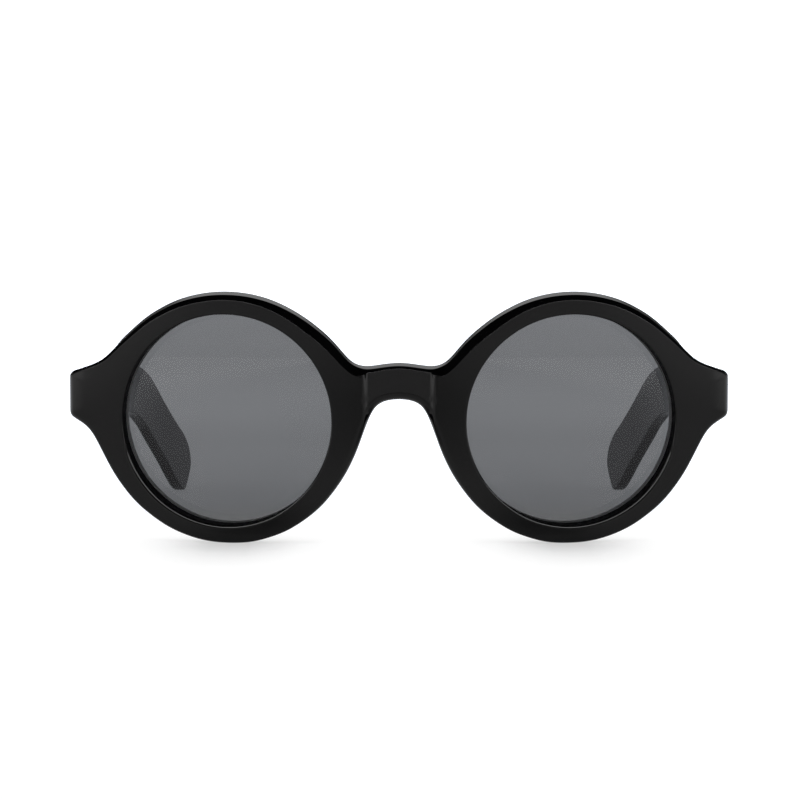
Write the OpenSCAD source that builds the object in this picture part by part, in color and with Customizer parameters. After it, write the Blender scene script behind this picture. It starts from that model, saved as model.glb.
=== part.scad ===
// Round acetate sunglasses: thick bent front, two tinted meniscus lenses,
// two folding temples on five-knuckle hinges.
// Millimetres. +Z up, front faces -Y, temples run to +Y.
// Origin: centre of the bounding box in plan, on the surface the glasses stand on.
// "right" and "left" are the wearer's: right is -X, left is +X.

/* [Front] */
// Thickness of the front, front face to back face
front_t = 8; // [7.6:0.1:8.4]
// Radius of the bent front face (vertical axis)
face_r = 216; // [206:2:226]
// Forward lean of the front from upright, degrees
lean = 4.5; // [4:0.1:5]
// Depth of the scoop in the bridge's face
scoop_d = 1.0; // [0.6:0.1:1.3]
// Half width of the flat bottom of that scoop
scoop_w = 6.5; // [6.2:0.1:7]

/* [Lenses] */
// Radius of each round lens opening
open_r = 22.05; // [21.8:0.05:22.2]
// Distance of each opening's centre from the middle, along the bent face
open_a = 36.1; // [35.9:0.1:36.3]
// Height of each opening's centre over the front's zero line
open_z = 0.3; // [0.1:0.1:0.4]
// Depth of the lens vertex below the front face
lens_rec = 2.6; // [2.2:0.1:3]
// Thickness of a lens
lens_t = 2.0; // [1.8:0.1:2.2]
// Radius of the lens's front curve
lens_r = 132; // [120:2:160]
// How far the lens edge sits in its groove
bevel_h = 0.75; // [0.6:0.05:0.8]

/* [Temples] */
// Thickness of a temple at its hinge
temple_t = 5.0; // [4.8:0.1:5.2]
// Thickness of a temple at its tip
tip_t = 2.8; // [2.6:0.1:3.4]
// Width of the square core wire inside a temple
wire_w = 1.4; // [1:0.1:1.6]
// Gap between a temple's butt and the end piece behind which it stops
butt_gap = 0.1; // [0.06:0.01:0.15]

/* [Hinges] */
// Distance of each hinge pin from the middle
pin_x = 62.0; // [61.8:0.1:62.1]
// Depth of each hinge pin behind the front's foremost edge
pin_y = 19.6; // [19.5:0.1:19.7]
// Radius of the hinge screw's shank
pin_r = 0.7; // [0.6:0.05:0.75]
// Running clearance of the temple's knuckles on the shank, radial
pin_gap = 0.05; // [0.03:0.01:0.08]
// Outer radius of the knuckles
knuckle_r = 1.6; // [1.5:0.05:1.65]
// Height of one knuckle
knuckle_h = 1.0; // [0.9:0.02:1]
// Gap between two knuckles
knuckle_gap = 0.03; // [0.02:0.01:0.05]
// Thickness of a hinge leaf
leaf_t = 1.0; // [0.8:0.1:1]

/* [View] */
// Fold of the wearer's right temple, degrees
fold_right = 0; // [0:1:85]
// Fold of the wearer's left temple, degrees
fold_left = 0; // [0:1:72]

/* [Hidden] */
$fn = 96;
e = 0.01;

black = [0.05, 0.05, 0.055];
tint = [0.36, 0.37, 0.39, 0.6];
steel = [0.72, 0.73, 0.75];
wire_c = [0.78, 0.76, 0.70];

// Height of the front's own zero line over the surface, and the shift in depth
// that puts the origin in the middle of the depth of the whole object.
zero_z = 25.05;
mid_y = 75.84;

back_y = 17.1;                        // flat back of the end pieces, where the temples stop
hinge_z0 = 28.5;                      // underside of the lowest knuckle
hinge_h = 5*knuckle_h + 4*knuckle_gap;
leaf_z0 = hinge_z0 - 0.1;
leaf_h = hinge_h + 0.2;
screw_z = hinge_z0 + hinge_h/2;

// ---- smooth curves through nodes [x, y, heading] ----
function hseg(p, q, n) =
    let(d = norm([q[0]-p[0], q[1]-p[1]]),
        t0 = [d*cos(p[2]), d*sin(p[2])], t1 = [d*cos(q[2]), d*sin(q[2])])
    [for (i = [0:n-1]) let(t = i/n, a = 2*pow(t,3)-3*t*t+1, b = pow(t,3)-2*t*t+t,
                           c = 3*t*t-2*pow(t,3), f = pow(t,3)-t*t)
        [a*p[0]+b*t0[0]+c*q[0]+f*t1[0], a*p[1]+b*t0[1]+c*q[1]+f*t1[1]]];
function smooth(nodes, n) = concat(
    [for (k = [0:len(nodes)-2]) each hseg(nodes[k], nodes[k+1], n)],
    [[nodes[len(nodes)-1][0], nodes[len(nodes)-1][1]]]);
function rev(v) = [for (i = [len(v)-1:-1:0]) v[i]];
// value of a curve given as points [x, y] at x (points in rising x)
function at(pts, x, i = 0) =
    i >= len(pts)-2 || x <= pts[i+1][0]
    ? pts[i][1] + (pts[i+1][1]-pts[i][1])*(x-pts[i][0])/(pts[i+1][0]-pts[i][0])
    : at(pts, x, i+1);

// Right half of the front's outline on the bent face: [along the face, up, heading],
// from the top of the bridge round the rim to the bridge's underside.
rim_nodes = [
    [0, 11.9, 0], [3.8, 11.5, -7], [7, 11.05, 2], [10.1, 12.2, 47],
    [14.15, 16.85, 45], [18.3, 20.35, 37], [23.95, 23.75, 26], [30, 25.8, 12],
    [36, 26.4, 0], [42.05, 25.75, -12.5], [48.15, 23.7, -27], [54.35, 19.8, -41],
    [59.25, 15.35, -44], [62.6, 12.25, -31], [66.1, 10.75, -19], [68.6, 9.9, -15],
    [70, 8.2, -90], [70, 2, -90], [69.4, -0.05, -147], [66.35, -1.85, -143],
    [63.65, -5.35, -118], [60.85, -10.5, -120], [56.95, -15.8, -130],
    [50.5, -21.15, -146], [43.5, -24.3, -163], [36.1, -25.35, -180],
    [28.85, -24.6, -197], [22.3, -22, -211], [16.5, -17.75, -223],
    [12.15, -12.45, -235], [9.05, -6.65, -246], [7.5, -2.45, -250],
    [6.1, 1.15, -247], [4.9, 3.45, -235], [2.8, 4.6, -195], [0, 4.9, -180]];
function flat_x(a) = face_r*sin(a/face_r*180/PI);
half_rim = [for (p = smooth(rim_nodes, 4)) [flat_x(p[0]), p[1]]];
rim_outline = concat(half_rim, [for (i = [len(half_rim)-2:-1:1]) [-half_rim[i][0], half_rim[i][1]]]);

// Temple seen from the side: [depth, height, slope] of its upper and lower edge.
upper_nodes = [[back_y+butt_gap, 35.4, -2], [60, 34, -2], [98, 32.7, -3],
    [113, 30.2, -17], [128, 22.9, -29], [141, 16.2, -26], [148.2, 12.5, -37],
    [151.9, 8.7, -66], [152.5, 6, -98], [150.3, 2.9, -127], [148.2, 0.9, -142], [146.6, 0, -178]];
lower_nodes = [[back_y+butt_gap, 25.6, -1], [60, 24.3, -2], [95, 22, -5],
    [105, 20.1, -18], [115, 16.2, -28], [130, 8.3, -29], [140, 2.5, -28], [146.6, 0, -2]];
// Temple seen from above: distance of its inner face from the middle.
inner_nodes = [[back_y, 63.3, 0], [60, 63.3, -1.5], [90, 62, -5], [110, 59.4, -9.5],
    [130, 55.6, -12], [156, 50.2, -12]];
upper = smooth(upper_nodes, 4);
lower = smooth(lower_nodes, 4);
inner = smooth(inner_nodes, 4);
function thick(y) = temple_t + (tip_t-temple_t)*min(1, max(0, (y-20)/75));
side_outline = concat(upper, rev([for (i = [0:len(lower)-2]) lower[i]]));
plan_outline = concat([for (p = inner) [p[1], p[0]]],
                      rev([for (p = inner) [p[1]+thick(p[0]), p[0]]]));
// Core wire: a line through the temple, low at the hinge and then central.
wire_nodes = [[back_y+butt_gap-e, 27.1, 0], [34, 27.2, 1], [60, 28.6, -1], [95, 27.4, -4],
    [108, 24.6, -22], [125, 16.2, -29], [140, 8, -29]];
wire_side = smooth(wire_nodes, 4);
wire_plan = [for (p = inner) [p[1]+thick(p[0])/2, p[0]]];

// ---- places ----
module centred() translate([0, -mid_y, 0]) children();
module leaned() translate([0, 0, zero_z]) rotate([lean, 0, 0]) children();
// Sides: s = 1 is the wearer's left (+X), s = -1 the wearer's right (-X).
module side(s) { if (s > 0) children(); else mirror([1, 0, 0]) children(); }
// Turns a left-hand piece about the hinge pin by the fold of its side.
module folded(s)
    side(s) translate([pin_x, pin_y, 0]) rotate([0, 0, s > 0 ? fold_left : fold_right])
        translate([-pin_x, -pin_y, 0]) children();
// Lens axis on the left: +Z of the child runs backwards along it, from the face.
lens_w = open_a/face_r*180/PI;
module on_lens_axis()
    translate([face_r*sin(lens_w), face_r*(1-cos(lens_w)), open_z])
        rotate([0, 0, lens_w]) rotate([-90, 0, 0]) children();

// ---- shapes ----
// Profile of the lens edge; g widens it into the groove.
groove_z = lens_rec + lens_t/2 + lens_r - sqrt(lens_r*lens_r - open_r*open_r);
module edge_profile(g) {
    polygon([[0, groove_z-1.4-g], [open_r-0.3, groove_z-1.4-g], [open_r+g, groove_z-0.85-g],
             [open_r+bevel_h+g, groove_z], [open_r+g, groove_z+0.85+g],
             [open_r-0.3, groove_z+1.4+g], [0, groove_z+1.4+g]]);
}
module rim_blank() {
    difference() {
        intersection() {
            translate([0, 26, 0]) rotate([90, 0, 0]) linear_extrude(height = 28) polygon(rim_outline);
            translate([0, face_r, -40]) cylinder(r = face_r, h = 80, $fn = 360);
        }
        translate([0, face_r, -41]) cylinder(r = face_r-front_t, h = 82, $fn = 360);
        // shallow scoop across the bridge, with sloping ends
        translate([0, 0, -2]) linear_extrude(height = 30)
            polygon([[-scoop_w-1.2, -1.2], [-scoop_w-1.2, -0.2], [-scoop_w, scoop_d], [scoop_w, scoop_d],
                     [scoop_w+1.2, -0.2], [scoop_w+1.2, -1.2]]);
        // hollow over each end piece, falling towards the temple's top edge
        for (s = [1, -1]) side(s)
            translate([71, 10.5, 28.4]) rotate([90+7.4, 0, 0])
                cylinder(r = 18.9, h = 44, center = true, $fn = 180);
    }
}
module pad_shape() {
    intersection() {
        translate([0, 20, 0]) rotate([90, 0, 0]) linear_extrude(height = 14)
            polygon(smooth([[8.1, 1, 10], [10.6, -1.2, -70], [12.3, -6, -68], [15.3, -11, -55],
                            [17.9, -14.6, -75], [16.6, -16.2, -200], [13.2, -13, -235],
                            [9.8, -6.7, -246], [8.3, -2.6, -250], [7.4, 0.2, -285], [8.1, 1, -350]], 4));
        translate([0, 0, -20]) linear_extrude(height = 26)
            polygon(smooth([[6.9, 6.5, 90], [7.3, 9, 70], [9.6, 12, 35], [12.6, 12.9, -5],
                            [15.6, 11.8, -35], [18.6, 8.6, -60], [18.8, 6.5, -90]], 4));
    }
}
module screw(l, r, head_r, head_h) {
    // countersunk screw along +Z from its tip, head flush at l
    difference() {
        union() {
            cylinder(r = r, h = l-head_h);
            translate([0, 0, l-head_h]) cylinder(r1 = r, r2 = head_r, h = head_h);
        }
        translate([0, 0, l-0.15]) cube([2*head_r*0.9, 0.2, 0.4], center = true);
    }
}
module knuckle(k, bore, reach)
    // k is 0 for the lowest; reach is the outline of the web to the leaf
    translate([0, 0, hinge_z0 + k*(knuckle_h+knuckle_gap)]) difference() {
        union() {
            translate([pin_x, pin_y, 0]) cylinder(r = knuckle_r, h = knuckle_h);
            linear_extrude(height = knuckle_h) polygon(reach);
        }
        translate([pin_x, pin_y, -1]) cylinder(r = bore, h = knuckle_h+2);
    }
front_web = [[pin_x-1, back_y-0.5], [pin_x+0.95, back_y-0.5], [pin_x+0.95, pin_y-0.9], [pin_x+0.6, pin_y],
             [pin_x-0.6, pin_y], [pin_x-1, pin_y-0.9]];
temple_web = [[pin_x+0.2, pin_y+1], [63.4, pin_y+3.2], [64.3, pin_y+3.2], [64.3, pin_y-0.6],
              [63.5, pin_y-1.2], [pin_x+0.9, pin_y-0.9]];
// The leaf let into the back of the end piece, and its two screw places.
fleaf_x = [59.6, 68];
fscrew_x = 66;
fscrew_z = [screw_z-1.35, screw_z+1.35];
// The leaf let into the temple's inner face, and its two screw places.
tleaf_y = [21.6, 31];
tscrew_y = [25, 29];

// ---- the pieces, drawn for the left and mirrored for the right ----
module front() {
    color(black) centred() difference() {
        leaned() difference() {
            rim_blank();
            for (s = [1, -1]) side(s) on_lens_axis() {
                translate([0, 0, -4]) cylinder(r = open_r, h = 20, $fn = 180);
                rotate_extrude($fn = 180) edge_profile(0.03);
            }
        }
        for (s = [1, -1]) side(s) {
            // flat back of the end piece
            translate([61, back_y, 20]) cube([14, 20, 24]);
            // pocket for the hinge leaf, clear of the rim's slope
            translate([fleaf_x[0], back_y-leaf_t, leaf_z0]) cube([fleaf_x[1]-fleaf_x[0], 4, leaf_h]);
            // holes for the leaf's screws
            for (z = fscrew_z) translate([fscrew_x, back_y-3.3, z]) rotate([-90, 0, 0]) cylinder(r = 0.5, h = 4);
        }
    }
}
module lens(s) {
    color(tint) centred() leaned() side(s) on_lens_axis() difference() {
        intersection() {
            translate([0, 0, lens_rec+lens_r]) sphere(r = lens_r, $fn = 360);
            rotate_extrude($fn = 180) union() {
                edge_profile(0);
                translate([0, 0]) square([open_r-0.3, groove_z+1.4]);
            }
        }
        translate([0, 0, lens_rec+lens_r]) sphere(r = lens_r-lens_t, $fn = 360);
    }
}
module nose_pad(s) {
    color(black) centred() leaned() side(s) difference() {
        pad_shape();
        translate([0, face_r, -41]) difference() {
            cylinder(r = face_r+20, h = 82, $fn = 360);
            translate([0, 0, -1]) cylinder(r = face_r-front_t, h = 84, $fn = 360);
        }
        on_lens_axis() rotate_extrude($fn = 180) edge_profile(0.2);
        on_lens_axis() translate([0, 0, -4]) cylinder(r = open_r+0.2, h = 24, $fn = 180);
    }
}
module front_leaf(s) {
    color(steel) centred() side(s) difference() {
        union() {
            translate([fleaf_x[0], back_y-leaf_t, leaf_z0]) cube([fleaf_x[1]-fleaf_x[0], leaf_t, leaf_h]);
            for (k = [0, 2, 4]) knuckle(k, pin_r+0.01, front_web);
        }
        for (z = fscrew_z) translate([fscrew_x, back_y-leaf_t-1, z]) rotate([-90, 0, 0]) {
            cylinder(r = 0.52, h = 3);
            translate([0, 0, 1+leaf_t-0.5]) cylinder(r1 = 0.52, r2 = 1.02, h = 0.5);
            translate([0, 0, 1+leaf_t-e]) cylinder(r = 1.02, h = 0.5);
        }
        // seat for the hinge screw's head in the top knuckle
        translate([pin_x, pin_y, hinge_z0+hinge_h-0.55]) cylinder(r1 = pin_r+0.01, r2 = 1.17, h = 0.46);
        translate([pin_x, pin_y, hinge_z0+hinge_h-0.1]) cylinder(r = 1.17, h = 0.5);
    }
}
module front_leaf_screws(s) {
    color(steel) centred() side(s) for (z = fscrew_z)
        translate([fscrew_x, back_y-3.2, z]) rotate([-90, 0, 0]) screw(3.2, 0.49, 0.99, 0.5);
}
module hinge_screw(s) {
    color(steel) centred() side(s) translate([pin_x, pin_y, hinge_z0+0.05])
        screw(hinge_h-0.15, pin_r, 1.13, 0.45);
}
module temple(s) {
    color(black) centred() folded(s) difference() {
        intersection() {
            // side view, run along X
            translate([40, 0, 0]) rotate([90, 0, 90]) linear_extrude(height = 40) polygon(side_outline);
            // plan view, run along Z
            translate([0, 0, -5]) linear_extrude(height = 60) polygon(plan_outline);
        }
        wire_shape(0.02, 0.5);
        // pocket for the leaf and room for the knuckles of the front
        translate([61, back_y+1, leaf_z0-0.02]) cube([64.32-61, tleaf_y[1]+0.02-back_y-1, leaf_h+0.04]);
        for (y = tscrew_y) translate([63, y, screw_z]) rotate([0, 90, 0]) cylinder(r = 0.5, h = 3.65);
    }
}
module wire_shape(g, early) {
    intersection() {
        translate([40, 0, 0]) rotate([90, 0, 90]) linear_extrude(height = 40)
            polygon(concat([[back_y-early, wire_side[0][1]+wire_w/2+g]],
                           [for (p = wire_side) [p[0], p[1]+wire_w/2+g]],
                           [[wire_side[len(wire_side)-1][0]+g, wire_side[len(wire_side)-1][1]+wire_w/2+g],
                            [wire_side[len(wire_side)-1][0]+g, wire_side[len(wire_side)-1][1]-wire_w/2-g]],
                           rev([for (p = wire_side) [p[0], p[1]-wire_w/2-g]]),
                           [[back_y-early, wire_side[0][1]-wire_w/2-g]]));
        translate([0, 0, -5]) linear_extrude(height = 60)
            polygon(concat([[wire_plan[0][0]-wire_w/2-g, back_y-2]],
                           [for (p = wire_plan) [p[0]-wire_w/2-g, p[1]]],
                           rev([for (p = wire_plan) [p[0]+wire_w/2+g, p[1]]]),
                           [[wire_plan[0][0]+wire_w/2+g, back_y-2]]));
    }
}
module core_wire(s) {
    color(wire_c) centred() folded(s) difference() {
        wire_shape(0, 0);
        translate([60, back_y-4, 20]) cube([12, 4+butt_gap+0.3, 12]);
    }
}
module temple_leaf(s) {
    color(steel) centred() folded(s) difference() {
        union() {
            translate([64.3-leaf_t, tleaf_y[0], leaf_z0]) cube([leaf_t, tleaf_y[1]-tleaf_y[0], leaf_h]);
            for (k = [1, 3]) knuckle(k, pin_r+pin_gap, temple_web);
        }
        for (y = tscrew_y) translate([64.3+1, y, screw_z]) rotate([0, -90, 0]) {
            cylinder(r = 0.52, h = 3);
            translate([0, 0, 1+leaf_t-0.5]) cylinder(r1 = 0.52, r2 = 1.02, h = 0.5);
            translate([0, 0, 1+leaf_t-e]) cylinder(r = 1.02, h = 0.5);
        }
    }
}
module temple_leaf_screws(s) {
    color(steel) centred() folded(s) for (y = tscrew_y)
        translate([64.3-leaf_t+3.2, y, screw_z]) rotate([0, -90, 0]) screw(3.2, 0.49, 0.99, 0.5);
}

front();
lens(-1);  // lens_right
lens(1);  // lens_left
nose_pad(-1);  // nose_pad_right
nose_pad(1);  // nose_pad_left
front_leaf(-1);  // front_leaf_right
front_leaf(1);  // front_leaf_left
front_leaf_screws(-1);  // front_leaf_screws_right
front_leaf_screws(1);  // front_leaf_screws_left
hinge_screw(-1);  // hinge_screw_right
hinge_screw(1);  // hinge_screw_left
temple(-1);  // temple_right
temple(1);  // temple_left
core_wire(-1);  // core_wire_right
core_wire(1);  // core_wire_left
temple_leaf(-1);  // temple_leaf_right
temple_leaf(1);  // temple_leaf_left
temple_leaf_screws(-1);  // temple_leaf_screws_right
temple_leaf_screws(1);  // temple_leaf_screws_left
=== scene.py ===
import bpy, bmesh, math
import numpy as np
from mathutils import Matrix, Quaternion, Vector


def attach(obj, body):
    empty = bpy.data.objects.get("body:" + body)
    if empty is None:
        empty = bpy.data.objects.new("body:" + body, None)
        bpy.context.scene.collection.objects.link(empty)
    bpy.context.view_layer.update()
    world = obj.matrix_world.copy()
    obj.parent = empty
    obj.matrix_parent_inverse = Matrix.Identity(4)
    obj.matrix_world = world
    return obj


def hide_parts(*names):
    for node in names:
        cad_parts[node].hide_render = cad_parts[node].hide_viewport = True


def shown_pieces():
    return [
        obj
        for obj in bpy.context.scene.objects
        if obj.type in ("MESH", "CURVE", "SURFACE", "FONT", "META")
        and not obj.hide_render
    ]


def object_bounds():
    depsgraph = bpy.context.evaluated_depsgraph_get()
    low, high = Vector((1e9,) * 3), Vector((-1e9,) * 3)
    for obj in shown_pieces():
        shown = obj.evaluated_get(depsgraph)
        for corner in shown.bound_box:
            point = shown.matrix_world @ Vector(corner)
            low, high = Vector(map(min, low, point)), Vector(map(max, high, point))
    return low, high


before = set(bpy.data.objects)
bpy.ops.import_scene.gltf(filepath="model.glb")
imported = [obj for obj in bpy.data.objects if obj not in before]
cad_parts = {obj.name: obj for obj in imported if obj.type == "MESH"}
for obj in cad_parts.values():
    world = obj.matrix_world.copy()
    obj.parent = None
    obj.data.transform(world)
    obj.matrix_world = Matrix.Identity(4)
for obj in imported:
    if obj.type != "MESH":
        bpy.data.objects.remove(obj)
cad_box = [list(v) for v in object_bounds()]

# ---------------------------------------------------------------------------
# Measures of the frame, in millimetres, the same as the construction's
# ---------------------------------------------------------------------------
RF, T = 216.0, 8.0                    # bent front face and thickness
LEAN = math.radians(4.5)
ZC, MID = 25.05, 75.84
RO, AC, VC, REC, RL, TL = 22.05, 36.1, 0.3, 2.6, 132.0, 2.0
SCOOP, SW, SR = 1.0, 6.5, 0.9
BACK_Y, BUTT = 17.1, 0.1
LEAF_Z0, LEAF_H = 28.4, 5.32
W = AC / RF
XC, YC = RF * math.sin(W), RF * (1 - math.cos(W))

RIM = [(0, 11.9, 0), (3.8, 11.5, -7), (7, 11.05, 2), (10.1, 12.2, 47),
       (14.15, 16.85, 45), (18.3, 20.35, 37), (23.95, 23.75, 26), (30, 25.8, 12),
       (36, 26.4, 0), (42.05, 25.75, -12.5), (48.15, 23.7, -27), (54.35, 19.8, -41),
       (59.25, 15.35, -44), (62.6, 12.25, -31), (66.1, 10.75, -19), (68.6, 9.9, -15),
       (70, 8.2, -90), (70, 2, -90), (69.4, -0.05, -147), (66.35, -1.85, -143),
       (63.65, -5.35, -118), (60.85, -10.5, -120), (56.95, -15.8, -130),
       (50.5, -21.15, -146), (43.5, -24.3, -163), (36.1, -25.35, -180),
       (28.85, -24.6, -197), (22.3, -22, -211), (16.5, -17.75, -223),
       (12.15, -12.45, -235), (9.05, -6.65, -246), (7.5, -2.45, -250),
       (6.1, 1.15, -247), (4.9, 3.45, -235), (2.8, 4.6, -195), (0, 4.9, -180)]
UPPER = [(17.2, 35.4, -2), (60, 34, -2), (98, 32.7, -3), (113, 30.2, -17), (128, 22.9, -29),
         (141, 16.2, -26), (148.2, 12.5, -37), (151.9, 8.7, -66), (152.5, 6, -98),
         (150.3, 2.9, -127), (148.2, 0.9, -142), (146.6, 0, -178)]
LOWER = [(17.2, 25.6, -1), (60, 24.3, -2), (95, 22, -5), (105, 20.1, -18), (115, 16.2, -28),
         (130, 8.3, -29), (140, 2.5, -28), (146.6, 0, -2)]
INNER = [(BACK_Y, 63.3, 0), (60, 63.3, -1.5), (90, 62, -5), (110, 59.4, -9.5),
         (130, 55.6, -12), (156, 50.2, -12)]
TEMPLE_T, TIP_T = 5.0, 2.8


# ---------------------------------------------------------------------------
# Curves
# ---------------------------------------------------------------------------
def hermite(nodes, n=60):
    out = []
    for (x0, y0, h0), (x1, y1, h1) in zip(nodes[:-1], nodes[1:]):
        d = math.hypot(x1 - x0, y1 - y0)
        a0, a1 = math.radians(h0), math.radians(h1)
        t = np.arange(n) / n
        a, b = 2 * t**3 - 3 * t**2 + 1, t**3 - 2 * t**2 + t
        c, f = 3 * t**2 - 2 * t**3, t**3 - t**2
        out.append(np.stack([a * x0 + b * d * math.cos(a0) + c * x1 + f * d * math.cos(a1),
                             a * y0 + b * d * math.sin(a0) + c * y1 + f * d * math.sin(a1)], 1))
    out.append(np.array([[nodes[-1][0], nodes[-1][1]]]))
    return np.concatenate(out)


def arclen(P):
    return np.concatenate([[0], np.cumsum(np.linalg.norm(np.diff(P, axis=0), axis=1))])


def resample(P, n=None, ds=None):
    s = arclen(P)
    n = n or max(2, int(round(s[-1] / ds)) + 1)
    u = np.linspace(0, s[-1], n)
    return np.stack([np.interp(u, s, P[:, k]) for k in range(P.shape[1])], 1)


def gauss(A, sigma_n):
    k = int(3 * sigma_n) + 1
    w = np.exp(-0.5 * (np.arange(-k, k + 1) / sigma_n) ** 2)
    w /= w.sum()
    return np.stack([np.convolve(A[:, c], w, mode="same") for c in range(A.shape[1])], 1)


def smoothstep(x, a, b):
    t = np.clip((np.asarray(x, float) - a) / (b - a), 0, 1)
    return t * t * (3 - 2 * t)


# ---------------------------------------------------------------------------
# The bent front
# ---------------------------------------------------------------------------
def face_y(x):
    return RF - np.sqrt(RF * RF - x * x)


def soft(u, h):
    """max(u, 0) with its corner rounded over a width of 2 h."""
    return np.where(u < -h, 0.0, np.where(u > h, u, (u + h) ** 2 / (4 * h)))


def scoop(x, v):
    """Depth of the shallow scoop across the bridge: an almost flat floor with sloping ends."""
    ax = np.abs(x)
    u = (SW + SR - ax) / SR
    floor_d = SCOOP - 0.05 + 0.055 * (v - 8.5) + 0.12 * (1 - np.minimum(ax / SW, 1.0) ** 2)
    return floor_d * (soft(u, 0.2) - soft(u - 1.0, 0.2))


def back_y(x, v):
    a = RF - np.sqrt((RF - T) ** 2 - x * x)
    b = (BACK_Y + v * math.sin(LEAN)) / math.cos(LEAN)
    # smooth lower envelope of the bent back and the flat back of the end piece
    k = 0.35
    h = np.clip(0.5 + 0.5 * (b - a) / k, 0, 1)
    return b + (a - b) * h - k * h * (1 - h)


def fall(P):
    """The end piece's upper side falls towards the back, to meet the temple."""
    x, y, v = P[:, 0], P[:, 1], P[:, 2]
    k = smoothstep(np.abs(x), 57.5, 65) * smoothstep(v, 4.5, 9.5) * 0.085
    return np.stack([x, y, v - k * np.maximum(0, y - face_y(np.minimum(np.abs(x), 70)))], 1)


def to_row(P):
    x, y, v = P[:, 0], P[:, 1], P[:, 2]
    c, s = math.cos(LEAN), math.sin(LEAN)
    return np.stack([x, y * c - v * s - MID, ZC + v * c + y * s], 1) * 0.001


def outline():
    """Half of the front's outline in (x, v), smoothed, with tangents."""
    P = resample(hermite(RIM), ds=0.05)
    P[:, 0] = RF * np.sin(P[:, 0] / RF)
    n = 120
    mir = lambda Q: np.stack([-Q[:, 0], Q[:, 1]], 1)
    E = np.concatenate([mir(P[1:n + 1][::-1]), P, mir(P[-n - 1:-1][::-1])])
    eased, firm = gauss(E, 26), gauss(E, 6)
    w = smoothstep(E[:, 0], 60, 65)[:, None]
    E = (eased * (1 - w) + firm * w)[n:-n]
    E[0, 0] = E[-1, 0] = 0
    # spacing follows the curvature
    d = np.gradient(E, axis=0)
    d /= np.linalg.norm(d, axis=1)[:, None]
    curv = np.linalg.norm(np.gradient(d, axis=0), axis=1) / 0.05
    h = np.clip(0.13 / np.maximum(curv, 1e-3), 0.2, 0.3 + 0.15 * smoothstep(E[:, 0], 12, 18))
    h = gauss(np.concatenate([np.full(60, h[0]), h, np.full(60, h[-1])])[:, None], 20)[60:-60, 0]
    dens = np.concatenate([[0], np.cumsum(0.05 / h[1:])])
    m = int(dens[-1])
    u = np.linspace(0, dens[-1], m)
    Q = np.stack([np.interp(u, dens, E[:, k]) for k in (0, 1)], 1)
    t = np.stack([np.interp(u, dens, d[:, k]) for k in (0, 1)], 1)
    t /= np.linalg.norm(t, axis=1)[:, None]
    t[0], t[-1] = (1, 0), (-1, 0)
    Q[0, 0] = Q[-1, 0] = 0
    return Q, t


OUT, TAN = outline()
NIN = np.stack([TAN[:, 1], -TAN[:, 0]], 1)
NO = len(OUT)
S = arclen(OUT)
ANG = np.unwrap(np.arctan2(OUT[:, 1] - VC, OUT[:, 0] - XC))
ANGD = np.degrees(ANG)


def top_chamfer():
    """Width of the bevel along the upper edge, from the bridge out to the end piece."""
    a = [178, 165, 160, 155, 150, 144, 140, 135, 130, 120, 110, 100, 90, 79, 67, 55, 43, 36, 30, 22, 16]
    w = [1.75, 1.75, 1.7, 1.38, 1.44, 1.58, 1.66, 1.72, 1.76, 1.5, 1.28, 1.1, 1.02, 1.02, 0.97, 0.88, 0.7, 0.6, 0.52, 0.5, 0.5]
    return np.interp(-ANGD, [-q for q in a], w)


# where the upper bevel is: everywhere above, from the bridge to the end piece's corner
i_corner = int(np.argmin(np.abs(OUT[:, 1] - 8.6) + 1e3 * (OUT[:, 0] < 66) + 1e3 * (S > S[-1] / 2)))
BEV = 1 - smoothstep(S, S[i_corner] - 1.2, S[i_corner] + 0.8)
# fillet of the front's lower edge: fine round the rims, fuller on the nose side
s_nose = S[int(np.argmin(np.hypot(OUT[:, 0] - 16.7, OUT[:, 1] + 17.5)))]
FIL = 0.5 + 1.15 * smoothstep(S, s_nose - 9, s_nose + 9)
FIL = FIL + 0.45 * (1 - smoothstep(S, S[i_corner] + 8, S[i_corner] + 16))
FILB = 0.6 + 0.5 * smoothstep(S, s_nose - 9, s_nose + 9)
WID = top_chamfer()
# the bevel runs deeper round the two shoulders beside the bridge
STEEP = 1 + 1.1 * smoothstep(OUT[:, 0], 6.5, 9.5) * (1 - smoothstep(OUT[:, 0], 11.5, 17)) * (S < S[-1] / 2)
# the face rolls off towards the end piece's end and the rim's outer and lower edge
ROLL_W = 2.0 + 1.2 * smoothstep(OUT[:, 0], 62, 68)
ROLL = (0.2 + 0.12 * smoothstep(OUT[:, 0], 62, 68)) * smoothstep(S, S[i_corner] - 5, S[i_corner] + 1) * smoothstep(ANGD, -118, -82)


def roll(x, v):
    """Extra depth of the face near its outer edge, by the distance from the outline."""
    P = np.stack([x, v], -1).reshape(-1, 2)
    out = np.empty(len(P))
    for k in range(0, len(P), 4000):
        d = np.hypot(P[k:k + 4000, None, 0] - OUT[None, :, 0], P[k:k + 4000, None, 1] - OUT[None, :, 1])
        i = np.argmin(d, 1)
        near = d[np.arange(len(i)), i]
        out[k:k + 4000] = ROLL[i] / (2 * ROLL_W[i]) * np.maximum(0, ROLL_W[i] - near) ** 2
    return out.reshape(np.shape(x))


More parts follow.
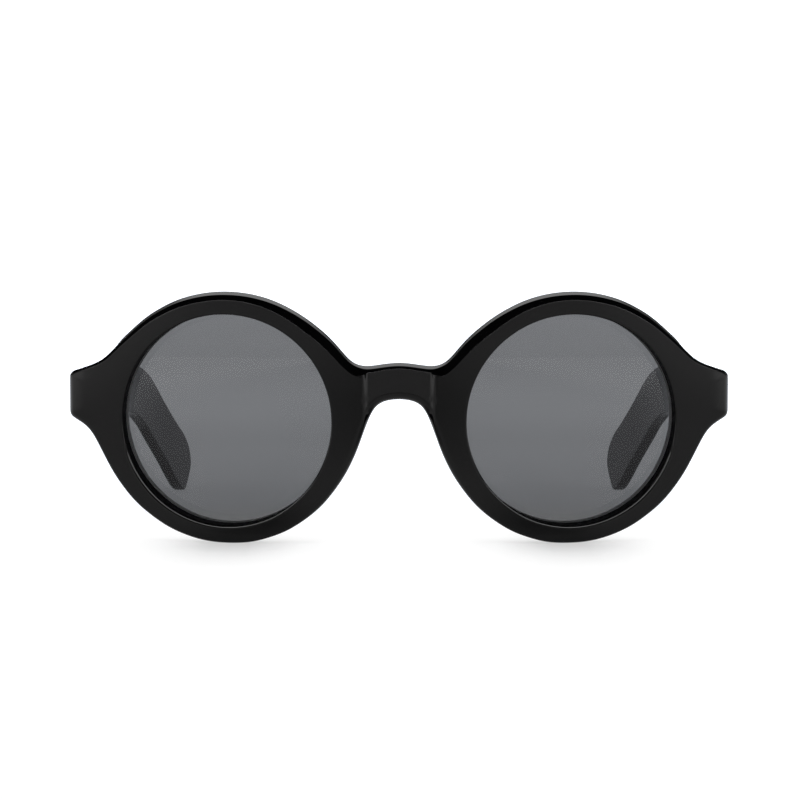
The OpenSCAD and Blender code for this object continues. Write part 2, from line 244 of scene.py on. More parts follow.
def outer_rings():
    """Rings of points from the face over the edge and the wall to the back."""
    def at(o):
        P = OUT + NIN * np.broadcast_to(o, NO)[:, None]
        P[0, 0] = P[-1, 0] = 0
        return P

    def sc(P):
        return scoop(P[:, 0], P[:, 1])

    wb = np.maximum(WID - sc(at(0.0)), 0.3)
    for _ in range(14):
        wb = 0.5 * wb + 0.5 * np.maximum(WID - sc(at(wb)), 0.3)
    base = sc(at(wb))
    top = base + wb * STEEP               # the bevel's reach below the unscooped face
    rho = 0.10 + 0.2 * (1 - smoothstep(ANGD, 45, 62))
    sharp, K = 0.035, 10
    r2, r1 = rho / math.sqrt(2), sharp / math.sqrt(2)
    near = [(wb + sharp, 0.0), (wb + 0.42 * sharp, 0.12 * sharp), (wb - 0.15 * sharp, 0.36 * sharp), (wb - r1, r1 * STEEP)]
    far = [(r2 + (wb - r2) * k, base + (wb - r2) * (1 - k) * STEEP) for k in (0.67, 0.33)]
    far += [(r2, top - r2 * STEEP),
           (0.36 * rho, top - 0.15 * rho), (0.12 * rho, top + 0.42 * rho), (0.0, top + rho)]
    out = []
    for k in range(K):
        b = k / (K - 1) * math.pi / 2
        o, d = near[k] if k < 4 else far[k - 4]
        P = at(FIL * (1 - math.sin(b)) * (1 - BEV) + o * BEV)
        ro = roll(P[:, 0], P[:, 1])
        fd = sc(P) + ro + FIL * (1 - math.cos(b))
        bd = (sc(P) + ro + d) if k < 4 else d
        out.append(np.stack([P[:, 0], face_y(P[:, 0]) + fd * (1 - BEV) + bd * BEV, P[:, 1]], 1))
    back = []
    for k in range(8):
        b = k / 7 * math.pi / 2
        P = at(FILB * (1 - math.cos(b)))
        back.append(np.stack([P[:, 0], back_y(P[:, 0], P[:, 1]) - FILB * (1 - math.sin(b)), P[:, 1]], 1))
    for k in range(1, 4):
        out.append(out[9] * (1 - k / 4) + back[0] * (k / 4))
    return out + back


def lens_to_local(r, phi, z):
    q, vv = r * np.cos(phi), r * np.sin(phi)
    return np.stack([XC + q * math.cos(W) - z * math.sin(W), YC + q * math.sin(W) + z * math.cos(W), VC + vv], 1)


def along_axis(r, phi, radius):
    q = r * np.cos(phi)
    bx, by = XC + q * math.cos(W), YC + q * math.sin(W)
    ax, ay = -math.sin(W), math.cos(W)
    B = 2 * (bx * ax + (by - RF) * ay)
    C = bx * bx + (by - RF) ** 2 - radius * radius
    return (-B - np.sqrt(B * B - 4 * C)) / 2


def relax(G, fixed_rounds=2500):
    """Laplace smoothing of a closed-in-u grid G[u, w, 2] with both ends of w held."""
    for _ in range(fixed_rounds):
        up, dn = np.roll(G, 1, 0)[:, 1:-1], np.roll(G, -1, 0)[:, 1:-1]
        # weights even out the different spacing in the two directions
        G[:, 1:-1] = (WU * (up + dn) + WV * (G[:, 2:] + G[:, :-2])) / (2 * WU + 2 * WV)
    return G


WU, WV = 0.2, 1.0
M = 40
K_SEAM = 22
front_rings = outer_rings()

# angle of the opening's ring that goes with each point of the outer loop
seam_n = K_SEAM
phi_out = ANG.copy()
top_a, bot_a = phi_out[0], phi_out[-1]
if bot_a > top_a:
    bot_a -= 2 * math.pi
phi_raw = np.minimum.accumulate(phi_out)
seam_phi = np.linspace(bot_a, top_a - 2 * math.pi, seam_n + 2)[1:-1]
loop_phi = np.concatenate([phi_raw, seam_phi])
NL = len(loop_phi)
# spread: mix with an even spread and smooth, keeping the order
ext = np.concatenate([loop_phi[-200:] + 2 * math.pi, loop_phi, loop_phi[:200] - 2 * math.pi])
loop_phi = gauss(ext[:, None], 14)[200:-200, 0]
F2, BEHIND = 0.4, 0.45
# the opening's front edge is rounder below, most of all towards the temple
below = -np.degrees(np.arctan2(np.sin(loop_phi), np.cos(loop_phi)))
F1 = 0.4 + smoothstep(below, 6, 18) * (0.4 - 0.18 * smoothstep(below, 45, 70)) * (1 - smoothstep(below, 112, 132))


def cap(outer_ring, inner_xy):
    """Grid between an outer loop and the opening's ring; returns (x, v) for [loop, w]."""
    top, bot = outer_ring[0], outer_ring[-1]
    seam = np.stack([np.zeros(seam_n), np.linspace(bot[2], top[2], seam_n + 2)[1:-1]], 1)
    loop = np.concatenate([outer_ring[:, [0, 2]], seam])
    w = np.linspace(0, 1, M + 1)[None, :, None]
    G = loop[:, None, :] * (1 - w) + inner_xy[:, None, :] * w
    return relax(G)


ringF = lens_to_local(RO + F1, loop_phi, along_axis(RO + F1, loop_phi, RF))
ringB = lens_to_local(RO + BEHIND + F2, loop_phi, along_axis(RO + BEHIND + F2, loop_phi, RF - T))
GF = cap(front_rings[0], ringF[:, [0, 2]])
GB = cap(front_rings[-1], ringB[:, [0, 2]])


class Build:
    def __init__(self):
        self.v, self.f, self.n = [], [], 0

    def add(self, P):
        i = self.n
        self.v.append(P)
        self.n += len(P)
        return np.arange(i, self.n)

    def strip(self, a, b, closed):
        m = len(a)
        for i in range(m if closed else m - 1):
            j = (i + 1) % m
            self.f.append((a[i], a[j], b[j], b[i]))


def front_half():
    B = Build()
    gx, gv = GF[:, :, 0], GF[:, :, 1]
    ids_f = []
    for w in range(M + 1):
        x, v = gx[:, w], gv[:, w]
        y = face_y(x) + scoop(x, v) + roll(x, v)
        if w == M:
            y = ringF[:, 1]
        ids_f.append(B.add(np.stack([x, y, v], 1)))
    for w in range(M):
        B.strip(ids_f[w], ids_f[w + 1], True)
    ids_b = []
    for w in range(M + 1):
        x, v = GB[:, w, 0], GB[:, w, 1]
        y = back_y(x, v)
        if w == 0:
            y = y.copy(); y[:NO] = front_rings[-1][:, 1]
        if w == M:
            y = ringB[:, 1]
        ids_b.append(B.add(np.stack([x, y, v], 1)))
    for w in range(M):
        B.strip(ids_b[w + 1], ids_b[w], True)
    # outer edge and wall
    prev = ids_f[0][:NO]
    for R_ in front_rings[1:-1]:
        cur = B.add(R_)
        B.strip(cur, prev, False)
        prev = cur
    B.strip(ids_b[0][:NO], prev, False)
    # opening: fillet, wall, groove, wall, fillet
    prev = ids_f[M]
    zg = REC + TL / 2 + RL - math.sqrt(RL * RL - RO * RO)
    prof = []
    for k in range(1, 7):
        b = k / 6 * math.pi / 2
        r = RO + F1 * (1 - math.sin(b))
        prof.append((r, along_axis(r, loop_phi, RF) + F1 * (1 - math.cos(b))))
    z0 = prof[-1][1]
    for t in (0.35, 0.7, 1.0):
        prof.append((RO, z0 * (1 - t) + (zg - 0.95) * t))
    prof += [(RO + 0.8, np.full(NL, zg)), (RO + BEHIND, np.full(NL, zg + 0.95))]
    z1 = along_axis(RO + BEHIND, loop_phi, RF - T) - F2
    for t in (0.5, 1.0):
        prof.append((RO + BEHIND, (zg + 0.95) * (1 - t) + z1 * t))
    for k in range(1, 5):
        b = k / 5 * math.pi / 2
        r = RO + BEHIND + F2 * (1 - math.cos(b))
        prof.append((r, along_axis(r, loop_phi, RF - T) - F2 * (1 - math.sin(b))))
    for r, z in prof:
        cur = B.add(lens_to_local(r, loop_phi, z))
        B.strip(prev, cur, True)
        prev = cur
    B.strip(prev, ids_b[M], True)
    V = fall(np.concatenate(B.v))
    return V, B.f


def make_mesh(name, V, F, merge=1e-7):
    me = bpy.data.meshes.new(name)
    me.from_pydata([tuple(p) for p in V], [], [tuple(int(i) for i in f) for f in F])
    me.validate()
    bm = bmesh.new()
    bm.from_mesh(me)
    bmesh.ops.remove_doubles(bm, verts=bm.verts, dist=merge)
    bmesh.ops.recalc_face_normals(bm, faces=bm.faces)
    bm.to_mesh(me)
    bm.free()
    ob = bpy.data.objects.new(name, me)
    bpy.context.scene.collection.objects.link(ob)
    return ob


def cut(ob, boxes):
    """Cuts axis-parallel boxes (row frame, mm, low and high) out of a piece, for good."""
    bm = bmesh.new()
    for lo, hi in boxes:
        r = bmesh.ops.create_cube(bm, size=1)
        for vert in r["verts"]:
            vert.co = Vector([(lo[k] + hi[k]) / 2 + vert.co[k] * (hi[k] - lo[k]) for k in range(3)]) * 0.001
    me = bpy.data.meshes.new("cutter")
    bm.to_mesh(me)
    bm.free()
    c = bpy.data.objects.new("cutter", me)
    bpy.context.scene.collection.objects.link(c)
    mod = ob.modifiers.new("pocket", "BOOLEAN")
    mod.operation, mod.solver, mod.object = "DIFFERENCE", "EXACT", c
    dg = bpy.context.evaluated_depsgraph_get()
    dg.update()
    new = bpy.data.meshes.new_from_object(ob.evaluated_get(dg))
    ob.modifiers.remove(mod)
    ob.data = new
    bpy.data.objects.remove(c)
    bpy.data.meshes.remove(me)


def finish_shade(ob, angle=38):
    ob.data.shade_smooth()
    ob.data.set_sharp_from_angle(angle=math.radians(angle))
    m = ob.modifiers.new("normals", "WEIGHTED_NORMAL")
    m.keep_sharp = True
    m.weight = 60


Vh, Fh = front_half()
Vm = Vh * np.array([-1, 1, 1])
Fm = [tuple(reversed(f)) for f in Fh]
Vf = np.concatenate([Vh, Vm])
Ff = Fh + [tuple(i + len(Vh) for i in f) for f in Fm]
front = make_mesh("front_plate", to_row(Vf), Ff)
cut(front, [((sg * 63.8 - 4.2, BACK_Y - 1.0 - MID, LEAF_Z0), (sg * 63.8 + 4.2, BACK_Y + 4 - MID, LEAF_Z0 + LEAF_H)) for sg in (1, -1)])
finish_shade(front)
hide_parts("front")
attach(front, "front_assembly")


# ---------------------------------------------------------------------------
# Lenses
# ---------------------------------------------------------------------------
def lens_mesh():
    """Meniscus lens with a bevelled edge, on a square grid laid over the disc, so it has no pole."""
    n, rb = 48, RO - 0.08
    a, b = np.meshgrid(np.linspace(-1, 1, n + 1), np.linspace(-1, 1, n + 1), indexing="ij")
    wide = np.abs(a) > np.abs(b)
    sa, sb = np.where(a == 0, 1, a), np.where(b == 0, 1, b)
    rad = np.where(wide, a, b)
    phi = np.where(wide, math.pi / 4 * b / sa, math.pi / 2 - math.pi / 4 * a / sb)
    phi = np.where((a == 0) & (b == 0), 0.0, phi)
    q, w = rad * rb * np.cos(phi), rad * rb * np.sin(phi)
    r2 = (q * q + w * w).ravel()
    ang, r = np.arctan2(w, q).ravel(), np.sqrt(r2)
    z_front = REC + RL - np.sqrt(RL * RL - r2)
    z_back = REC + RL - np.sqrt((RL - TL) ** 2 - r2)
    B = Build()
    idx = np.arange((n + 1) ** 2).reshape(n + 1, n + 1)
    fr = B.add(lens_to_local(r, ang, z_front))[idx]
    bk = B.add(lens_to_local(r, ang, z_back))[idx]
    for i in range(n):
        for j in range(n):
            B.f.append((fr[i, j], fr[i, j + 1], fr[i + 1, j + 1], fr[i + 1, j]))
            B.f.append((bk[i, j], bk[i + 1, j], bk[i + 1, j + 1], bk[i, j + 1]))

    def rim(G):
        return np.concatenate([G[n, :-1], G[:0:-1, n], G[0, :0:-1], G[:-1, 0]])

    zg = REC + TL / 2 + RL - math.sqrt(RL * RL - RO * RO)
    edge_ang = ang[rim(idx)]
    prev = rim(fr)
    for rr, zz in ((RO, zg - 0.85), (RO + 0.7, zg - 0.06), (RO + 0.7, zg + 0.06), (RO, zg + 0.85)):
        cur = B.add(lens_to_local(rr, edge_ang, zz))
        B.strip(prev, cur, True)
        prev = cur
    B.strip(prev, rim(bk), True)
    return np.concatenate(B.v), B.f


Vl, Fl = lens_mesh()
for sg, side in ((-1, "right"), (1, "left")):
    ob = make_mesh("tinted_" + side, to_row(Vl * np.array([sg, 1, 1])), Fl)
    finish_shade(ob, 24)
    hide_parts("lens_" + side)
    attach(ob, "front_assembly")


# ---------------------------------------------------------------------------
# Temples
# ---------------------------------------------------------------------------
def temple_mesh():
    up = resample(hermite(UPPER), ds=0.05)
    lo = resample(hermite(LOWER), ds=0.05)
    mid = (up[0] + lo[0]) / 2
    # closed outline from the middle of the butt, up, out to the tip and back under
    a = resample(np.array([mid, up[0]]), ds=0.05)
    b = resample(np.array([lo[0], mid]), ds=0.05)
    loop = np.concatenate([a[:-1], up, lo[::-1][1:], b[1:-1]])
    n = len(loop)
    E = np.concatenate([loop[-300:], loop, loop[:300]])
    eased, firm = gauss(E, 12), gauss(E, 5)
    w = (1 - smoothstep(E[:, 0], 17.2 + 1.5, 17.2 + 5))[:, None]
    E = (eased * (1 - w) + firm * w)[300:-300]
    d = np.roll(E, -1, 0) - np.roll(E, 1, 0)
    d /= np.linalg.norm(d, axis=1)[:, None]
    curv = np.linalg.norm(np.roll(d, -1, 0) - np.roll(d, 1, 0), axis=1) / 0.1
    h = np.clip(0.14 / np.maximum(curv, 1e-3), 0.18, 0.9)
    h = gauss(np.concatenate([h[-60:], h, h[:60]])[:, None], 22)[60:-60, 0]
    dens = np.concatenate([[0], np.cumsum(0.05 / h)])
    half = int(dens[-1] / 2)
    u = np.linspace(0, dens[-1], 2 * half + 1)[:-1]
    Ec, dc = np.concatenate([E, E[:1]]), np.concatenate([d, d[:1]])
    Q = np.stack([np.interp(u, dens, Ec[:, k]) for k in (0, 1)], 1)
    t = np.stack([np.interp(u, dens, dc[:, k]) for k in (0, 1)], 1)
    t /= np.linalg.norm(t, axis=1)[:, None]
    nin = np.stack([t[:, 1], -t[:, 0]], 1)
    L = len(Q)
    inner = hermite(INNER)

    def xin(y):
        return np.interp(y, inner[:, 0], inner[:, 1])

    def th(y):
        return TEMPLE_T + (TIP_T - TEMPLE_T) * np.clip((y - 20) / 75, 0, 1)

    # the inner edges are crisp, the outer ones rounder
    ease = smoothstep(Q[:, 0], 17.2 + 0.8, 17.2 + 5)
    FI, FO = 0.22 + 0.16 * ease, 0.22 + 0.68 * ease
    B = Build()

    def pts(P, side, depth):
        y, z = P[:, 0], P[:, 1]
        xi, tt = xin(y), th(y)
        x = xi + depth if side == 0 else xi + tt - depth
        return np.stack([x, y - MID, z], 1) * 0.001

    K = 8
    rows = []
    for k in range(K):
        b = k / (K - 1) * math.pi / 2
        rows.append(B.add(pts(Q + nin * (FI * (1 - math.sin(b)))[:, None], 0, FI * (1 - math.cos(b)))))
    y_, z_ = Q[:, 0], Q[:, 1]
    for f in (0.33, 0.67):
        xi, tt = xin(y_), th(y_)
        rows.append(B.add(np.stack([xi + FI + (tt - FI - FO) * f, y_ - MID, z_], 1) * 0.001))
    for k in range(K):
        b = (K - 1 - k) / (K - 1) * math.pi / 2
        rows.append(B.add(pts(Q + nin * (FO * (1 - math.sin(b)))[:, None], 1, FO * (1 - math.cos(b)))))
    for a_, b_ in zip(rows[:-1], rows[1:]):
        B.strip(a_, b_, True)
    # faces: ladder between facing points of the innermost ring
    MC = 14
    for side in (0, 1):
        edge = rows[0] if side == 0 else rows[-1]
        ring = Q + nin * (FI if side == 0 else FO)[:, None]
        prev = None
        for i in range(0, L // 2 + 1):
            p, q = ring[i], ring[-i % L]
            if i in (0, L // 2):
                cur = np.array([edge[i]] * (MC + 1))
            else:
                w = np.linspace(0, 1, MC + 1)[1:-1, None]
                mid_ids = B.add(pts(p * (1 - w) + q * w, side, 0))
                cur = np.concatenate([[edge[i]], mid_ids, [edge[-i % L]]])
            if prev is not None:
                for j in range(MC):
                    f = [prev[j], cur[j], cur[j + 1], prev[j + 1]]
                    g = []
                    for q_ in f:
                        if q_ not in g:
                            g.append(q_)
                    if len(g) > 2:
                        B.f.append(tuple(g) if side == 0 else tuple(reversed(g)))
            prev = cur
    return np.concatenate(B.v), B.f


Vt, Ft = temple_mesh()
for sg, side in ((-1, "right"), (1, "left")):
    V = Vt * np.array([sg, 1, 1])
    ob = make_mesh("temple_arm_" + side, V, Ft)
    x0, x1 = sorted((sg * 61.0, sg * 64.32))
    cut(ob, [((x0, BACK_Y + 1 - MID, LEAF_Z0 - 0.02), (x1, 31.02 - MID, LEAF_Z0 + LEAF_H + 0.02))])
    finish_shade(ob)
    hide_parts("temple_" + side)
    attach(ob, "temple_assembly_" + side)


# ---------------------------------------------------------------------------
# Nose pads
# ---------------------------------------------------------------------------
PAD = [(8.1, 1, 10), (10.6, -1.2, -70), (12.3, -6, -68), (15.3, -11, -55),
       (17.9, -14.6, -75), (16.6, -16.2, -200), (13.2, -13, -235),
       (9.8, -6.7, -246), (8.3, -2.6, -250), (7.4, 0.2, -285), (8.1, 1, -350)]


def pad_mesh():
    P = resample(hermite(PAD), ds=0.02)[:-1]
    n = len(P)
    E = gauss(np.concatenate([P[-300:], P, P[:300]]), 40)[300:-300]
    # start at the upper end, so that facing points pair across the pad
    E = np.roll(E, -int(np.argmax(E[:, 1])), 0)
    Q = resample(np.concatenate([E, E[:1]]), n=161)[:-1]
    L = len(Q)
    B = Build()
    MC = 20
    grid = []
    for i in range(L // 2 + 1):
        p, q = Q[i], Q[-i % L]
        w = 0.5 - 0.5 * np.cos(np.linspace(0, 1, MC + 1) * math.pi)
        row = p[None] * (1 - w[:, None]) + q[None] * w[:, None]
        grid.append(row)
    G = np.array(grid)
    along = np.linspace(0, 1, L // 2 + 1)[:, None]
    across = (0.5 - 0.5 * np.cos(np.linspace(0, 1, MC + 1) * math.pi))[None, :]
    ea = 4 * along * (1 - along)
    ec = 4 * across * (1 - across)
    hgt = np.sqrt(np.clip(ec, 0, 1)) * np.clip(ea, 0, 1) ** 0.42
    H = 4.3 * hgt
    x, v = G[:, :, 0], G[:, :, 1]
    base = RF - np.sqrt((RF - T) ** 2 - x * x) - 0.35
    # the pad leans outwards as it comes back, so that the pair opens to the rear
    xx = x + 0.45 * H * (1 - 0.35 * across)
    top = np.stack([xx, base + H, v], 2)
    ids = []
    for i in range(L // 2 + 1):
        ids.append(B.add(top[i]))
    for i in range(L // 2):
        for j in range(MC):
            B.f.append((ids[i][j], ids[i][j + 1], ids[i + 1][j + 1], ids[i + 1][j]))
    bot = np.stack([x, base - 0.3, v], 2)
    ids2 = []
    for i in range(L // 2 + 1):
        ids2.append(B.add(bot[i]))
    for i in range(L // 2):
        for j in range(MC):
            B.f.append((ids2[i][j + 1], ids2[i][j], ids2[i + 1][j], ids2[i + 1][j + 1]))
        for j, rev in ((0, False), (MC, True)):
            f = (ids[i][j], ids[i + 1][j], ids2[i + 1][j], ids2[i][j])
            B.f.append(tuple(reversed(f)) if rev else f)
    return np.concatenate(B.v), B.f


Vp, Fp = pad_mesh()
for sg, side in ((-1, "right"), (1, "left")):
    ob = make_mesh("pad_" + side, to_row(Vp * np.array([sg, 1, 1])), Fp, merge=2e-7)
    finish_shade(ob, 60)
    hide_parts("nose_pad_" + side)
    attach(ob, "front_assembly")


# ---------------------------------------------------------------------------
# Materials
# ---------------------------------------------------------------------------
BACKDROP, SWEEP, FLOOR_GLOW, FLOOR_LIGHT, SIDES = 1.6, 0.4, 0.80, 2.4, 0.7
STRIP = 19.0
COOL = (0.965, 1.0, 1.06)              # the studio's white is a little cool


def material(name):
    m = bpy.data.materials.new(name)
    m.use_nodes = True
    nt = m.node_tree
    return m, nt, nt.nodes["Principled BSDF"]


def node(nt, kind, **inputs):
    n = nt.nodes.new(kind)
    for k, v in inputs.items():
        if hasattr(n, k):
            setattr(n, k, v)
        else:
            n.inputs[k.replace("_", " ")].default_value = v
    return n


def acetate(name, rough=0.07, depth=0.178):
    """Polished black cellulose acetate: deep black, a faint cloud in the sheet, a slightly uneven polish."""
    m, nt, b = material(name)
    L = nt.links
    tc = node(nt, "ShaderNodeTexCoord")
    cloud = node(nt, "ShaderNodeTexNoise", Scale=140.0, Detail=3.0, Roughness=0.55)
    L.new(tc.outputs["Object"], cloud.inputs["Vector"])
    ramp = node(nt, "ShaderNodeValToRGB")
    ramp.color_ramp.elements[0].position, ramp.color_ramp.elements[0].color = 0.3, (0.0005, 0.0005, 0.0006, 1)
    ramp.color_ramp.elements[1].position, ramp.color_ramp.elements[1].color = 0.75, (0.0014, 0.0014, 0.0016, 1)
    L.new(cloud.outputs["Fac"], ramp.inputs["Fac"])
    L.new(ramp.outputs["Color"], b.inputs["Base Color"])
    fine = node(nt, "ShaderNodeTexNoise", Scale=900.0, Detail=2.0, Roughness=0.6)
    L.new(tc.outputs["Object"], fine.inputs["Vector"])
    rr = node(nt, "ShaderNodeMapRange")
    rr.inputs["From Min"].default_value, rr.inputs["From Max"].default_value = 0.3, 0.7
    rr.inputs["To Min"].default_value, rr.inputs["To Max"].default_value = rough * 0.75, rough * 1.35
    L.new(fine.outputs["Fac"], rr.inputs["Value"])
    L.new(rr.outputs["Result"], b.inputs["Roughness"])
    wave = node(nt, "ShaderNodeTexNoise", Scale=55.0, Detail=1.0)
    L.new(tc.outputs["Object"], wave.inputs["Vector"])
    bump = node(nt, "ShaderNodeBump", Strength=0.12, Distance=0.00004)
    L.new(wave.outputs["Fac"], bump.inputs["Height"])
    L.new(bump.outputs["Normal"], b.inputs["Normal"])
    b.inputs["IOR"].default_value = 1.48
    b.inputs["Specular IOR Level"].default_value = depth
    return m


def tinted_lens(name):
    m, nt, b = material(name)
    L = nt.links
    tc = node(nt, "ShaderNodeTexCoord")
    cloud = node(nt, "ShaderNodeTexNoise", Scale=30.0, Detail=1.0)
    L.new(tc.outputs["Object"], cloud.inputs["Vector"])
    ramp = node(nt, "ShaderNodeValToRGB")
    ramp.color_ramp.elements[0].color = (0.0050, 0.0053, 0.0060, 1)
    ramp.color_ramp.elements[1].color = (0.0065, 0.0068, 0.0075, 1)
    L.new(cloud.outputs["Fac"], ramp.inputs["Fac"])
    L.new(ramp.outputs["Color"], b.inputs["Base Color"])
    b.inputs["Roughness"].default_value = 0.03
    b.inputs["IOR"].default_value = 1.5
    b.inputs["Specular IOR Level"].default_value = 0.16
    b.inputs["Alpha"].default_value = 0.657
    return m


def ground_edge(name):
    """The bevelled edge of a lens: ground, not polished, so it is pale and dull."""
    m, nt, b = material(name)
    L = nt.links
    tc = node(nt, "ShaderNodeTexCoord")
    grit = node(nt, "ShaderNodeTexNoise", Scale=2500.0, Detail=2.0)
    L.new(tc.outputs["Object"], grit.inputs["Vector"])
    ramp = node(nt, "ShaderNodeValToRGB")
    ramp.color_ramp.elements[0].color = (0.34, 0.35, 0.36, 1)
    ramp.color_ramp.elements[1].color = (0.46, 0.47, 0.48, 1)
    L.new(grit.outputs["Fac"], ramp.inputs["Fac"])
    L.new(ramp.outputs["Color"], b.inputs["Base Color"])
    b.inputs["Roughness"].default_value = 0.6
    return m


def metal(name, color, rough, streak):
    m, nt, b = material(name)
    L = nt.links
    b.inputs["Base Color"].default_value = (*color, 1)
    b.inputs["Metallic"].default_value = 1.0
    tc = node(nt, "ShaderNodeTexCoord")
    mp = node(nt, "ShaderNodeMapping")
    mp.inputs["Scale"].default_value = streak
    L.new(tc.outputs["Object"], mp.inputs["Vector"])
    n = node(nt, "ShaderNodeTexNoise", Scale=1.0, Detail=3.0)
    L.new(mp.outputs["Vector"], n.inputs["Vector"])
    rr = node(nt, "ShaderNodeMapRange")
    rr.inputs["To Min"].default_value, rr.inputs["To Max"].default_value = rough * 0.6, rough * 1.5
    L.new(n.outputs["Fac"], rr.inputs["Value"])
    L.new(rr.outputs["Result"], b.inputs["Roughness"])
    bump = node(nt, "ShaderNodeBump", Strength=0.2, Distance=0.00002)
    L.new(n.outputs["Fac"], bump.inputs["Height"])
    L.new(bump.outputs["Normal"], b.inputs["Normal"])
    return m


M_BLACK = acetate("acetate black")
# a dull copy of the acetate that hardly reflects: painted shade for the walls of the lens openings
M_SHADED_WALL = acetate("acetate shaded wall", rough=0.5, depth=0.018)
M_PAD = acetate("acetate pad", rough=0.13)
M_LENS = tinted_lens("grey lens")
M_EDGE = ground_edge("ground lens edge")
M_HINGE = metal("hinge steel", (0.62, 0.62, 0.63), 0.28, (2500, 2500, 30000))
M_SCREW = metal("screw steel", (0.72, 0.72, 0.73), 0.18, (9000, 9000, 9000))
M_WIRE = metal("core wire", (0.6, 0.57, 0.5), 0.25, (20000, 300, 20000))
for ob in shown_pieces():
    n = ob.name
    if n.startswith(("front_plate", "temple_arm")):
        mat = M_BLACK
    elif n.startswith("pad"):
        mat = M_PAD
    elif n.startswith("tinted"):
        mat = M_LENS
    elif "screw" in n:
        mat = M_SCREW
    elif "leaf" in n:
        mat = M_HINGE
    elif "wire" in n:
        mat = M_WIRE
    else:
        mat = M_BLACK
    if n.startswith(("front_plate", "temple_arm", "pad", "tinted")):
        ob.data.materials.clear()
    if len(ob.material_slots) == 0:
        ob.data.materials.append(mat)
    else:
        for s in ob.material_slots:
            s.material = mat

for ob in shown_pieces():
    if ob.name.startswith("tinted"):
        ob.data.materials.append(M_EDGE)
        n_lens = 2 * 48 * 48
        for poly in ob.data.polygons:
            poly.material_index = 0 if poly.index < n_lens else 1

# Painted shade: the wall of each lens opening in front of the lens gets a shaded copy of the acetate that hardly
# reflects, so it stays black.
front.data.materials.append(M_SHADED_WALL)
npoly = len(front.data.polygons)
C = np.empty(npoly * 3)
front.data.polygons.foreach_get("center", C)
C = C.reshape(-1, 3) * 1000
cl, sl_ = math.cos(LEAN), math.sin(LEAN)
py, pz = C[:, 1] + MID, C[:, 2] - ZC
ly, lv = py * cl + pz * sl_, -py * sl_ + pz * cl
dx, dy = np.abs(C[:, 0]) - XC, ly - YC
lq, lz = dx * math.cos(W) + dy * math.sin(W), -dx * math.sin(W) + dy * math.cos(W)
in_wall = (np.hypot(lq, lv - VC) < RO + 0.012) & (lz < 5.6)
front.data.polygons.foreach_set("material_index", in_wall.astype(np.int32))
front.data.update()


# ---------------------------------------------------------------------------
# Stage, light, camera
# ---------------------------------------------------------------------------
def ramp_points(nt, points, kind="EASE"):
    r = node(nt, "ShaderNodeValToRGB")
    r.color_ramp.interpolation = kind
    e = r.color_ramp.elements
    while len(e) < len(points):
        e.new(0.5)
    for k, (p, c) in enumerate(points):
        e[k].position, e[k].color = p, (c, c, c, 1)
    return r


bm = bmesh.new()
bmesh.ops.create_circle(bm, cap_ends=True, radius=6.0, segments=96)
me = bpy.data.meshes.new("floor")
bm.to_mesh(me)
bm.free()
floor = bpy.data.objects.new("floor", me)
bpy.context.scene.collection.objects.link(floor)
# pale floor that glows (painted light, no lamp), its glow graded by distance from the glasses and brightening into
# a white sweep behind
fm, nt, b = material("floor")
b.inputs["Base Color"].default_value = (0.3 * COOL[0], 0.3 * COOL[1], 0.3 * COOL[2], 1)
b.inputs["Roughness"].default_value = 0.7
b.inputs["Specular IOR Level"].default_value = 0.1
tc = node(nt, "ShaderNodeTexCoord")
sep = node(nt, "ShaderNodeSeparateXYZ")
nt.links.new(tc.outputs["Object"], sep.inputs["Vector"])
mr = node(nt, "ShaderNodeMapRange")
mr.inputs["From Min"].default_value, mr.inputs["From Max"].default_value = -0.13, 1.37
nt.links.new(sep.outputs["Y"], mr.inputs["Value"])
up = ramp_points(nt, [(k, FLOOR_GLOW + a) for k, a in (
    (0.0, 0.0), (0.04, 0.03), (0.053, 0.05), (0.1, 0.0), (0.12, 0.075), (0.14, 0.10), (0.157, 0.165), (0.18, 0.185),
    (0.2, 0.215), (0.22, 0.25), (0.26, 0.225), (0.287, 0.28), (0.313, 0.315), (0.34, SWEEP - 0.025), (0.413, SWEEP - 0.025),
    (0.467, SWEEP - 0.055), (0.513, SWEEP - 0.09), (0.56, SWEEP - 0.13), (0.64, SWEEP - 0.15), (0.71, SWEEP - 0.10),
    (0.79, SWEEP - 0.075), (0.93, SWEEP))], "LINEAR")
nt.links.new(mr.outputs["Result"], up.inputs["Fac"])
cool = node(nt, "ShaderNodeMix", data_type="RGBA", blend_type="MULTIPLY")
cool.inputs["Factor"].default_value = 1.0
# plain white in front of the glasses, a little cool behind them
tint = []
tf = node(nt, "ShaderNodeMapRange")
tf.inputs["From Min"].default_value, tf.inputs["From Max"].default_value = -0.05, 0.03
nt.links.new(sep.outputs["Y"], tf.inputs["Value"])
for k in (1.0, 0.3):
    tm = node(nt, "ShaderNodeMix", data_type="RGBA")
    nt.links.new(tf.outputs["Result"], tm.inputs["Factor"])
    tm.inputs[6].default_value = (k, k, k, 1)
    tm.inputs[7].default_value = (k * COOL[0], k * COOL[1], k * COOL[2], 1)
    tint.append(tm.outputs[2])
nt.links.new(tint[0], cool.inputs[7])
nt.links.new(tint[1], b.inputs["Base Color"])
nt.links.new(up.outputs["Color"], cool.inputs[6])
em = node(nt, "ShaderNodeEmission")
nt.links.new(cool.outputs[2], em.inputs["Color"])
add = node(nt, "ShaderNodeAddShader")
nt.links.new(b.outputs["BSDF"], add.inputs[0])
nt.links.new(em.outputs["Emission"], add.inputs[1])
